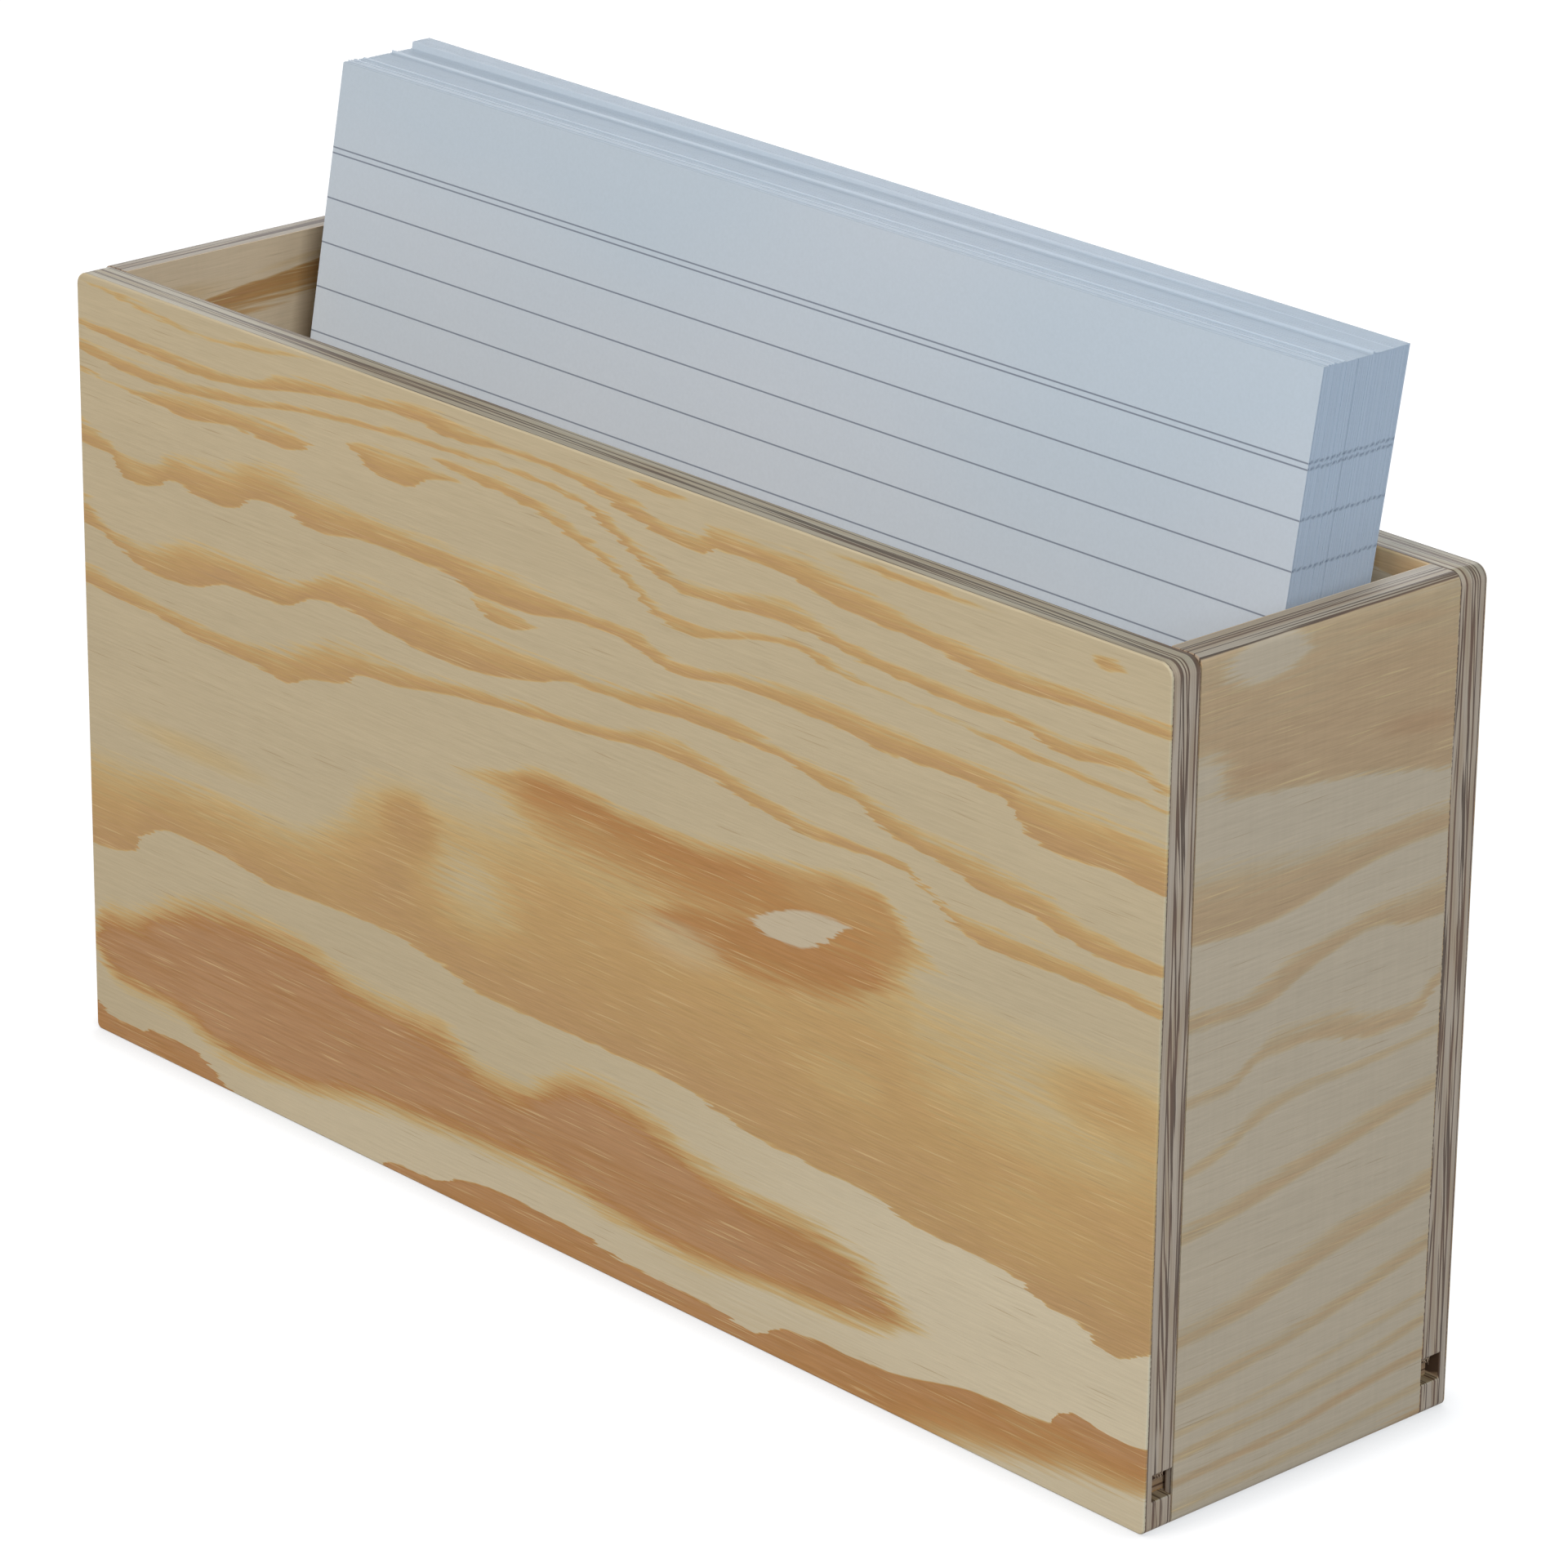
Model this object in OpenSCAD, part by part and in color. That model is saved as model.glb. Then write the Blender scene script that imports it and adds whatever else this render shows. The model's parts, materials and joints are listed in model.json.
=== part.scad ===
// Open-topped index card box of thin pine plywood, with a pack of ruled cards leaning back in it.
// Millimetres. The origin is the middle of the footprint, the front faces -Y and +Z is up.

/* [Cards] */
// Width of a card, along the box
card_width = 210; // [148:1:297]
// Height of a card
card_height = 148; // [135:1:180]
// Thickness of one card
card_thickness = 0.15; // [0.12:0.01:0.2]
// Air between neighbouring cards
card_gap = 0.02; // [0.01:0.01:0.04]
// Cards counted into one bundle
bundle_size = 5; // [3:1:6]
// Bundles in the pack
bundle_count = 20; // [12:1:24]
// Bundles at the front that tip forward together as the cards are leafed through
leafed_bundles = 8; // [2:1:10]
// Air where the pack parts, in front of and behind the leafed cards
parting_gap = 0.1; // [0.05:0.05:0.3]
// Angle by which the pack leans back from upright
lean_angle = 9.7; // [5:0.1:12]
// Air between the pack and the panel that it leans on
lean_clearance = 0.3; // [0.1:0.05:0.6]
// Air under the cards' feet
foot_clearance = 0.05; // [0.02:0.01:0.2]

/* [Scatter of the cards] */
// Most that a card slips sideways
side_scatter = 0.04; // [0:0.02:0.4]
// Most that a card stands above the lowest ones
rise_scatter = 0.06; // [0:0.02:0.5]
// Cards at the front that stand less evenly
loose_cards = 24; // [0:1:40]
// Most that one of those stands above the lowest ones
loose_rise = 0.35; // [0:0.05:0.6]
// Bundles at the back that stand askew
askew_bundles = 4; // [0:1:6]
// Angle by which those are turned in their own plane, about their upper right corner
askew_angle = 0.3; // [0:0.05:0.6]
// Place, counted from the front, of the one card that stands proud
proud_card = 57; // [10:1:60]
// Height by which it stands proud
proud_rise = 0.4; // [0:0.1:1]

/* [Box] */
// Thickness of the plywood, for all five panels
panel_thickness = 5.6; // [5:0.1:9]
// Height of the four walls
box_height = 128; // [100:1:140]
// Clear depth between the front and back panels
inner_depth = 50.8; // [46:0.2:80]
// Sideways play of the cards between the end panels, both sides together
card_play = 16.8; // [6:0.2:40]
// Distance of the pack's middle to the left of the box's middle
pack_shift = 1.2; // [0:0.1:1.5]
// Radius of the front and back panels' upper corners
corner_radius = 2.2; // [0.5:0.1:4.5]
// Radius to which the end panels' outer upper edges are sanded
end_radius = 1.5; // [0.5:0.1:2.5]
// Radius to which the box's outer edges are sanded at the foot of both ends
foot_radius = 1; // [0.4:0.1:2.5]

/* [Bottom groove] */
// Height of the groove's lower edge above the table
groove_height = 4.8; // [4.6:0.1:10]
// Wood left behind the groove
groove_web = 1.6; // [1:0.1:2.5]
// Thickness of the tongue around the bottom panel
tongue_thickness = 3.8; // [2:0.1:4.5]
// Air above the tongue in its groove
tongue_clearance = 0.2; // [0.1:0.05:0.5]
// Air between the tongue's edge and the groove's floor
tip_clearance = 0.6; // [0.2:0.1:1.2]
// Air between the bottom panel's shoulder and the walls
shoulder_clearance = 0.2; // [0.1:0.05:0.5]

/* [Hidden] */
$fn = 64;

wood = "#c9b182";
wood_shade = "#b89b6c";
paper = "#dfe4ec";

inner_length = card_width + card_play;
box_length = inner_length + 2 * panel_thickness;
groove_depth = panel_thickness - groove_web;
groove_width = tongue_thickness + tongue_clearance;
tongue_reach = groove_depth - tip_clearance;
floor_z = groove_height + panel_thickness;

// a cutter's run past the face that it opens
overcut = 1;

card_count = bundle_size * bundle_count;
leafed_cards = bundle_size * leafed_bundles;
askew_cards = bundle_size * askew_bundles;
card_pitch = card_thickness + card_gap;

// the pack's rear face meets the back panel's inner top edge, or the card's top where that is lower
lean_height = min(box_height - floor_z, card_height * cos(lean_angle));
back_foot_y = inner_depth / 2 - lean_clearance - lean_height * tan(lean_angle);

// a repeatable scatter between 0 and 1 for card i, with a separate series for each kind
scatter_turn = 137.5;
scatter_series = 61;
scatter_gain = 997;
function scatter(i, series) =
    let (swing = scatter_gain * sin(scatter_turn * i + scatter_series * series))
    swing - floor(swing);

function side_slip(i) = side_scatter * (2 * scatter(i, 1) - 1);
function rise(i) =
    (i < loose_cards ? loose_rise : rise_scatter) * scatter(i, 2) + (i + 1 == proud_card ? proud_rise : 0);
function skew(i) = i >= card_count - askew_cards ? askew_angle : 0;

// partings between card i and the back of the pack: one behind the front card, one behind the leafed cards
function partings_behind(i) = (i < 1 ? 1 : 0) + (i < leafed_cards ? 1 : 0);
function depth_before_back(i) = (card_count - 1 - i) * card_pitch + partings_behind(i) * parting_gap;
function foot_y(i) = back_foot_y - depth_before_back(i) / cos(lean_angle);

function bundle_name(b) = str("card_bundle_", b < 10 ? "0" : "", b);

// outline of a long panel, seen from the front and standing on the table
module long_outline() {
    top_length = box_length - 2 * corner_radius;
    foot_length = box_length - 2 * foot_radius;
    translate([-box_length / 2, foot_radius])
        square([box_length, box_height - foot_radius - corner_radius]);
    translate([-top_length / 2, foot_radius])
        square([top_length, box_height - foot_radius]);
    translate([-foot_length / 2, 0])
        square([foot_length, box_height - corner_radius]);
    for (side = [-1, 1]) {
        translate([side * top_length / 2, box_height - corner_radius])
            circle(r = corner_radius);
        translate([side * foot_length / 2, foot_radius])
            circle(r = foot_radius);
    }
}

// a full-length wall on the front side; its groove runs out through both ends as an open notch
module long_panel() {
    difference() {
        translate([0, -inner_depth / 2, 0])
            rotate([90, 0, 0])
                linear_extrude(panel_thickness)
                    long_outline();
        translate([-box_length / 2 - overcut, -inner_depth / 2 - groove_depth, groove_height])
            cube([box_length + 2 * overcut, groove_depth + overcut, groove_width]);
    }
}

// section of a short wall on the right side, seen from the front
module end_outline() {
    translate([inner_length / 2, foot_radius])
        square([panel_thickness, box_height - foot_radius - end_radius]);
    translate([inner_length / 2, foot_radius])
        square([panel_thickness - end_radius, box_height - foot_radius]);
    translate([inner_length / 2, 0])
        square([panel_thickness - foot_radius, box_height - end_radius]);
    translate([box_length / 2 - end_radius, box_height - end_radius])
        circle(r = end_radius);
    translate([box_length / 2 - foot_radius, foot_radius])
        circle(r = foot_radius);
}

// a short wall on the right side, butted between the two long panels
module end_panel() {
    difference() {
        translate([0, inner_depth / 2, 0])
            rotate([90, 0, 0])
                linear_extrude(inner_depth)
                    end_outline();
        translate([inner_length / 2 - overcut, -inner_depth / 2 - overcut, groove_height])
            cube([groove_depth + overcut, inner_depth + 2 * overcut, groove_width]);
    }
}

module front_panel() {
    color(wood)
        long_panel();
}

module back_panel() {
    color(wood)
        mirror([0, 1, 0])
            long_panel();
}

module right_end_panel() {
    color(wood_shade)
        end_panel();
}

module left_end_panel() {
    color(wood_shade)
        mirror([1, 0, 0])
            end_panel();
}

// the same sheet as the walls, rebated on top all round so that a tongue enters the grooves
module bottom_panel() {
    shoulder_length = inner_length - 2 * shoulder_clearance;
    shoulder_depth = inner_depth - 2 * shoulder_clearance;
    tongue_length = inner_length + 2 * tongue_reach;
    tongue_depth = inner_depth + 2 * tongue_reach;
    color(wood_shade)
        translate([0, 0, groove_height]) {
            translate([-shoulder_length / 2, -shoulder_depth / 2, 0])
                cube([shoulder_length, shoulder_depth, panel_thickness]);
            translate([-tongue_length / 2, -tongue_depth / 2, 0])
                cube([tongue_length, tongue_depth, tongue_thickness]);
        }
}

// card i stands on its lower rear edge and turns, where askew, about its upper right corner
module card(i) {
    translate([card_width / 2 - pack_shift + side_slip(i), foot_y(i), floor_z + foot_clearance])
        rotate([-lean_angle, 0, 0])
            translate([0, 0, card_height + rise(i)])
                rotate([0, skew(i), 0])
                    translate([-card_width, -card_thickness, -card_height])
                        cube([card_width, card_thickness, card_height]);
}

module front_card() {
    color(paper)
        card(0);
}

// bundle b of the pack, counted from the front; the first one is short of the front card
module card_bundle(b) {
    color(paper)
        for (i = [max(1, (b - 1) * bundle_size) : b * bundle_size - 1])
            card(i);
}

front_panel();
back_panel();
left_end_panel();
right_end_panel();
bottom_panel();
front_card();
for (b = [1:bundle_count])
    card_bundle(b);
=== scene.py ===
import json
import math
import bpy
from functools import partial
from mathutils import Matrix, Vector


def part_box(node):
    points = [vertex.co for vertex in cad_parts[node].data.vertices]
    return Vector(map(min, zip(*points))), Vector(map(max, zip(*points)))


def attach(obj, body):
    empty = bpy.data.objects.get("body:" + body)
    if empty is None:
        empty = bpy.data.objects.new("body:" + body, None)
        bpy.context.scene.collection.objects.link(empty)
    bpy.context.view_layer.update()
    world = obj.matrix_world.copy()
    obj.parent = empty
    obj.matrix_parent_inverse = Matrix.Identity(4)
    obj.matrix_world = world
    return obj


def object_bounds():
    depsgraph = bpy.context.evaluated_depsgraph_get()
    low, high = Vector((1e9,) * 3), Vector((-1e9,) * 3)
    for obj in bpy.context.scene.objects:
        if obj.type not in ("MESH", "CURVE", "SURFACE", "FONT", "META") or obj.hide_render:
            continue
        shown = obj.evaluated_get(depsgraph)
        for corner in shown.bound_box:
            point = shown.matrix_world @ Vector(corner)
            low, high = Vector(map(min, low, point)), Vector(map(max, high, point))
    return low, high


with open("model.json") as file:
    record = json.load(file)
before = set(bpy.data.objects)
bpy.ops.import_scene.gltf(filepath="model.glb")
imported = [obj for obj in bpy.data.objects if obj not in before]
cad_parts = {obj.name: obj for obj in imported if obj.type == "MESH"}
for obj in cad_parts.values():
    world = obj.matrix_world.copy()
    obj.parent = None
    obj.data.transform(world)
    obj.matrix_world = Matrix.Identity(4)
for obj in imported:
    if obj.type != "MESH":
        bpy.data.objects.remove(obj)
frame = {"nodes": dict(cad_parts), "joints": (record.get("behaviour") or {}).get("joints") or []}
cadLow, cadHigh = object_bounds()

toMm = 1000.0  # the frame is in metres, and the patterns below are in millimetres


def linearColour(hexText):
    # sRGB hex to the linear values that a colour socket takes
    parts = [int(hexText[place:place + 2], 16) / 255 for place in (1, 3, 5)]
    return [p / 12.92 if p <= 0.04045 else ((p + 0.055) / 1.055) ** 2.4 for p in parts] + [1.0]


def addNode(tree, kind, links=(), curve=(), stops=(), **settings):
    # links are numbers, hex colours, sockets or nodes, by socket name or in the order of the sockets in
    # use; curve holds a float curve's points, stops a colour ramp's places and colours
    made = tree.nodes.new("ShaderNode" + kind)
    for key, value in settings.items():
        setattr(made, key, value)
    if curve:
        made.mapping.use_clip = False
        points = made.mapping.curves[0].points
        points[0].location, points[-1].location = curve[0], curve[-1]
        for place in curve[1:-1]:
            points.new(*place)
        for point in points:
            point.handle_type = "AUTO_CLAMPED"
        made.mapping.update()
    if stops:
        elements = made.color_ramp.elements
        elements.remove(elements[1])
        elements[0].position = stops[0][0]
        for place, colour in stops[1:]:
            elements.new(place)
        for element, (place, colour) in zip(elements, stops):
            element.color = linearColour(colour)
    inUse = [socket for socket in made.inputs if socket.enabled]
    for key, value in links.items() if isinstance(links, dict) else enumerate(links):
        socket = made.inputs[key] if isinstance(key, str) else inUse[key]
        if isinstance(value, bpy.types.Node):
            value = next(out for out in value.outputs if out.enabled)
        if isinstance(value, bpy.types.NodeSocket):
            tree.links.new(value, socket)
        else:
            socket.default_value = linearColour(value) if isinstance(value, str) else value
    return made


def treeOf(values):
    # the node tree that the first node or socket among these is in
    return next(value.id_data for value in values if isinstance(value, bpy.types.bpy_struct))


def calc(operation, *values, clamp=False):
    return addNode(treeOf(values), "Math", values, operation=operation, use_clamp=clamp)


scaled = partial(calc, "MULTIPLY_ADD")  # a value times the second one, plus the third
product = partial(calc, "MULTIPLY")
minus = partial(calc, "SUBTRACT")
quotient = partial(calc, "DIVIDE")
highest = partial(calc, "MAXIMUM")
lowest = partial(calc, "MINIMUM")
beyond = partial(calc, "GREATER_THAN")


def ramp(value, start, end, low=0.0, high=1.0, smooth=False):
    # low where the value is at start, high where it is at end
    return addNode(value.id_data, "MapRange", [value, start, end, low, high],
                   interpolation_type="SMOOTHSTEP" if smooth else "LINEAR")


def mix(*values):
    # share and two numbers
    return addNode(treeOf(values), "Mix", values)


def blend(share, first, second, kind="MIX"):
    # of two colours
    values = [share, first, second]
    return addNode(treeOf(values), "Mix", values, data_type="RGBA", blend_type=kind)


def addObject(name, data):
    made = bpy.data.objects.new(name, data)
    bpy.context.scene.collection.objects.link(made)
    return made


def dress(name, material):
    # gives one of the frame's nodes its material
    slot = frame["nodes"][name].material_slots[0]
    slot.link = "OBJECT"
    slot.material = material


def startMaterial(name):
    material = bpy.data.materials.new(name)
    material.use_nodes = True
    material.node_tree.nodes.clear()
    return material, material.node_tree


def finishMaterial(look, colour, height):
    # roughness and relief both follow one pattern of heights
    tree = height.id_data
    rough = ramp(height, *look["heights"], *look["roughness"])
    bump = addNode(tree, "Bump", {"Strength": look["bump"], "Distance": look["relief"], "Height": height})
    shader = addNode(tree, "BsdfPrincipled", {
        "Base Color": colour, "Roughness": rough, "Normal": bump, "IOR": look["ior"],
        "Specular IOR Level": look["specular"]})
    addNode(tree, "OutputMaterial", {"Surface": shader})


def orbit(look, aim=(0.0, 0.0, 0.0)):
    # a place and direction given as an orbit about a point; degrees to the right of the front, and up
    return (
        Matrix.Translation(aim)
        @ Matrix.Rotation(math.radians(look["azimuth"]), 4, "Z")
        @ Matrix.Rotation(math.radians(90 - look["elevation"]), 4, "X")
        @ Matrix.Rotation(math.radians(look.get("roll", 0.0)), 4, "Z")
        @ Matrix.Translation((0, 0, look["distance"]))
    )


# camera: the photograph's viewing angle
cameraLook = {
    "aim": (0.01108, -0.00012, 0.07231),  # metres
    "azimuth": 47.10,
    "elevation": 21.03,
    "roll": 0.695,
    "distance": 0.985,  # metres
    "lens": 152.51,  # mm
    "sensor": 36.0,  # mm across the square picture
}


def placeCamera(look):
    data = bpy.data.cameras.new("photoCamera")
    data.sensor_width = look["sensor"]
    data.lens = look["lens"]
    camera = addObject("photoCamera", data)
    camera.matrix_world = orbit(look, look["aim"])
    bpy.context.scene.camera = camera


placeCamera(cameraLook)
print("camera placed")

# studio: a white sweep under an even sky, a large warm softbox above the front, a cool fill at the right
# and a low one behind, for the sides that the photograph doesn't show
studio = {
    "white": "#ffffff",
    "skyColour": "#dfe8f4",
    "skyStrength": 0.27,
    "softboxes": [
        {"name": "keySoftbox", "colour": "#fff3e6", "power": 15.2, "size": 0.55,  # watts, metres
         "azimuth": -14.0, "elevation": 38.0, "distance": 1.6},
        {"name": "fillSoftbox", "colour": "#deebfa", "power": 17.6, "size": 0.7,
         "azimuth": 65.0, "elevation": 34.0, "distance": 1.5},
        {"name": "backSoftbox", "colour": "#f3f4f6", "power": 12.0, "size": 0.8,
         "azimuth": 222.0, "elevation": 12.0, "distance": 1.6},
    ],
    "floorSize": 8.0,  # metres
    "floorDrop": 0.0001,  # metres below the box's feet
    "floorColour": "#959595",
    "floorShade": "#7c7c7c",  # share of the floor's white that the shadow takes away
    "floorGlow": 0.92,  # share that it leaves
    "contactReach": 0.007,  # metres, width of the soft shadow along the box's feet
    "contactShade": 0.70,  # share of the glow left at the feet
    "contactOpen": 0.5,  # share of the sky that is open there
    "contactSamples": 6,
}


def lightPathWhite(tree):
    # rays that should meet a white surround: from the camera, a reflection or through glass
    path = addNode(tree, "LightPath").outputs
    seen = highest(path["Is Camera Ray"], path["Is Glossy Ray"])
    return highest(seen, path["Is Transmission Ray"])


def buildStudio(look):
    world = bpy.data.worlds.new("studioSky")
    bpy.context.scene.world = world
    world.use_nodes = True
    tree = world.node_tree
    tree.nodes.clear()
    sky = addNode(tree, "Background", [look["skyColour"], look["skyStrength"]])
    white = addNode(tree, "Background", [look["white"], 1.0])
    shown = addNode(tree, "MixShader", [lightPathWhite(tree), sky, white])
    addNode(tree, "OutputWorld", [shown])

    for box in look["softboxes"]:
        lamp = bpy.data.lights.new(box["name"], "AREA")
        lamp.shape = "SQUARE"
        lamp.size = box["size"]
        lamp.energy = box["power"]
        lamp.color = linearColour(box["colour"])[:3]
        softbox = addObject(box["name"], lamp)
        softbox.matrix_world = orbit(box)

    half = look["floorSize"] / 2
    mesh = bpy.data.meshes.new("sweep")
    corners = [(-half, -half), (half, -half), (half, half), (-half, half)]
    mesh.from_pydata([(x, y, cadLow.z - look["floorDrop"]) for x, y in corners], [], [(0, 1, 2, 3)])
    sweep = addObject("sweep", mesh)
    material, tree = startMaterial("mattWhitePaperSweep")
    bounce = addNode(tree, "BsdfDiffuse", {"Color": look["floorColour"]})
    shade = addNode(tree, "BsdfDiffuse", {"Color": look["floorShade"]})
    unhidden = addNode(tree, "AmbientOcclusion", {"Distance": look["contactReach"]},
                       samples=look["contactSamples"]).outputs["AO"]
    atFeet = look["floorGlow"] * look["contactShade"]
    left = ramp(unhidden, look["contactOpen"], 1.0, atFeet, look["floorGlow"])
    glow = addNode(tree, "Emission", [look["white"], left])
    seen = addNode(tree, "AddShader", [shade, glow])
    shown = addNode(tree, "MixShader", [lightPathWhite(tree), bounce, seen])
    addNode(tree, "OutputMaterial", {"Surface": shown})
    mesh.materials.append(material)
    bpy.context.scene.view_settings.view_transform = "Standard"


buildStudio(studio)
print("studio lit")

# pine plywood: a rotary-cut pine face, sanded, on darker glued inner plies. The eye sees cream earlywood
# crossed by amber latewood that starts at a sharp edge and fades, with fibres along the grain
pine = {
    "cream": "#b5a687",
    "bounceLitCream": "#c5b89c",
    "halo": "#bda878",
    "amber": "#b3925f",
    "deep": "#a9875b",
    "orange": "#a37541",
    "red": "#a47c54",
    "eye": "#b7a98f",
    "canal": "#927b58",
    "glint": "#c4ab7c",
    "haloFull": 0.22,  # share of amber at which the halo hides the cream
    "amberAt": 0.45,  # share at which it is plain amber, between halo and deep
    "redSpans": {"orange": (0.0, 0.45), "red": (0.4, 1.0)},  # shares of red over which each comes in
    "darkVaries": 0.7,  # how far those shares change slowly and from fibre to fibre
    "fibre": (18.0, 0.50),  # mm, length and height of a bundle of fibres
    "fibreDetail": 2.0,
    "fibreTint": (0.10, 0.14),  # change of tone in pale wood, and more in dark wood
    "fine": (5.5, 0.25),  # mm, length and height of single fibres, drawn coarser than life
    "fineTint": (0.13, 0.10),
    "teeth": (5.0, 0.50),  # mm, length and height of the teeth on a latewood edge
    "teethShift": (4.5, 0.90),  # mm, how far they move an edge along and across the grain
    "cloud": (60.0, 9.0),  # mm, size of the slow changes of colour
    "cloudTint": 0.08,
    "pore": (15.0, 0.30),  # mm, length and height of dark canals and pale dashes, drawn coarser than life
    "canalAt": (0.24, 0.32, 0.0, 0.5),  # heights of the pore noise, and the shares of colour there
    "glintAt": (-0.17, -0.27, 0.0, 0.6),
    "sanding": (30.0, 0.8),  # mm, length and distance of the faint marks left by sanding across the grain
    "otherFace": 310.0,  # mm along the sheet to where the inner face is cut
    "heights": (-0.25, 0.25),
    "roughness": (0.65, 0.51),  # in the hollows and on the fibres that stand up
    "bump": 0.6,
    "relief": 0.00005,  # metres between the lowest and highest fibres
    "ior": 1.5,
    "specular": 0.35,
}

# the right end is cut from a browner sheet with less contrast
pineEnd = dict(pine, cream="#b6a48a", halo="#b5a07d", amber="#af926e", deep="#a88b69", orange="#a97f58")
# inside, the left end is a pinker tan and the back panel a paler one
pineTan = dict(pine, cream="#c6ac8a", halo="#bfa279", amber="#b58f60", deep="#ab8354", orange="#a57843",
               red="#9e714a")
pineBack = dict(pine, cream="#b8a58a", halo="#b9a27c", amber="#b3956d", deep="#a88a64")

# inner plies on a cut edge; the eye sees grey-beige layers with dark streaks that taper and drift
plies = {
    "light": "#af9d89",
    "warm": "#a79279",
    "tintAt": (-0.15, 0.2),  # heights of the patch noise between which light turns to warm
    "dark": "#4e3f33",
    "reddish": "#5f4637",
    "sawnAndShaded": "#dcc8b0",  # groove for the bottom, browner as its cutter left it and darker with painted shade in the recess
    "groove": (6.8, 2.06, 1.5),  # mm, its middle, half its height and the depth where it starts
    "face": 0.36,  # mm of the face ply left at the sanded edge, outside and inside
    "innerFace": 0.18,
    "faceEnds": (0.28, 0.40),  # mm of depth over which it gives way to the plies
    "ragged": 0.3,  # how far single fibres shift that
    "glue": (0.10, 0.20, 0.95, 0.0),  # mm from a glue line's middle, and the shares of dark there
    "swell": (-0.18, 0.18, 0.55, 1.25),  # heights of the patch noise, and a glue line's thickness there
    "wander": (42.0, 0.5),  # mm, length and reach of the layers' own waves
    "streak": (24.0, 0.40),  # mm, length and thickness of a dark streak
    "streakAt": (0.01, 0.06),  # heights of its noise where it starts and is full
    "streakShare": (0.14, 0.95),  # how dark it is in the other plies and in the streaky ones
    "patch": (15.0, 1.6),  # mm, length and thickness of a change of colour
    "line": (36.0, 0.13),  # mm, length and thickness of the fine lines
    "lineDetail": 2.0,
    "lineTint": 0.24,
    "drawnOut": 0.35,  # the pattern is longer along a panel's upper edge
    "upward": (0.3, 0.9),  # slope from which an upward edge is greyed, partly its end grain and partly painted shade, and where it is fully so
}

# latewood as drawn: a band starts at a sharp edge and fades over its own thickness, a lens fades both ways
latewood = {
    "fade": (0.9, 0.3),  # share of a band's thickness, and mm more, over which it fades
    "feather": 0.9,  # how far single fibres shift the fading, where a band gives no other value
    "featherLimit": 6.0,  # mm
    "lensFeather": 1.7,
    "lensFill": (-0.3, 1.0),  # distances inside a lens, as shares of its soft edge, over which it fills
    "lensHalo": (-1.3, 0.3, 0.0, 0.5),  # the same for the amber around it, and the shares of amber
    "patchFeather": 0.5,
    "patchFill": (1.0, 0.2),  # distances from a patch's middle, as shares of its reach
    "crossing": 0.15,  # share of the height by which a band's edges cross past its ends
}

# plain rings, for the faces on which nothing is drawn
rings = {
    "swing": (95.0, 55.0),  # mm, length and height of a swing
    "ripple": (24.0, 15.0),  # mm, length and height of a ripple
    "rippleReach": 5.0,  # mm from its lowest to its highest
    "fibreReach": 1.5,
    "start": 0.035,  # share of a ring in which latewood starts
    "fade": (0.10, 0.62, 1.0, 0.0),  # shares of a ring between which it fades
    "weight": (-0.15, 0.15, 0.95, 0.5),  # heights of the ripple, and how strong a ring is there
}

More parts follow.
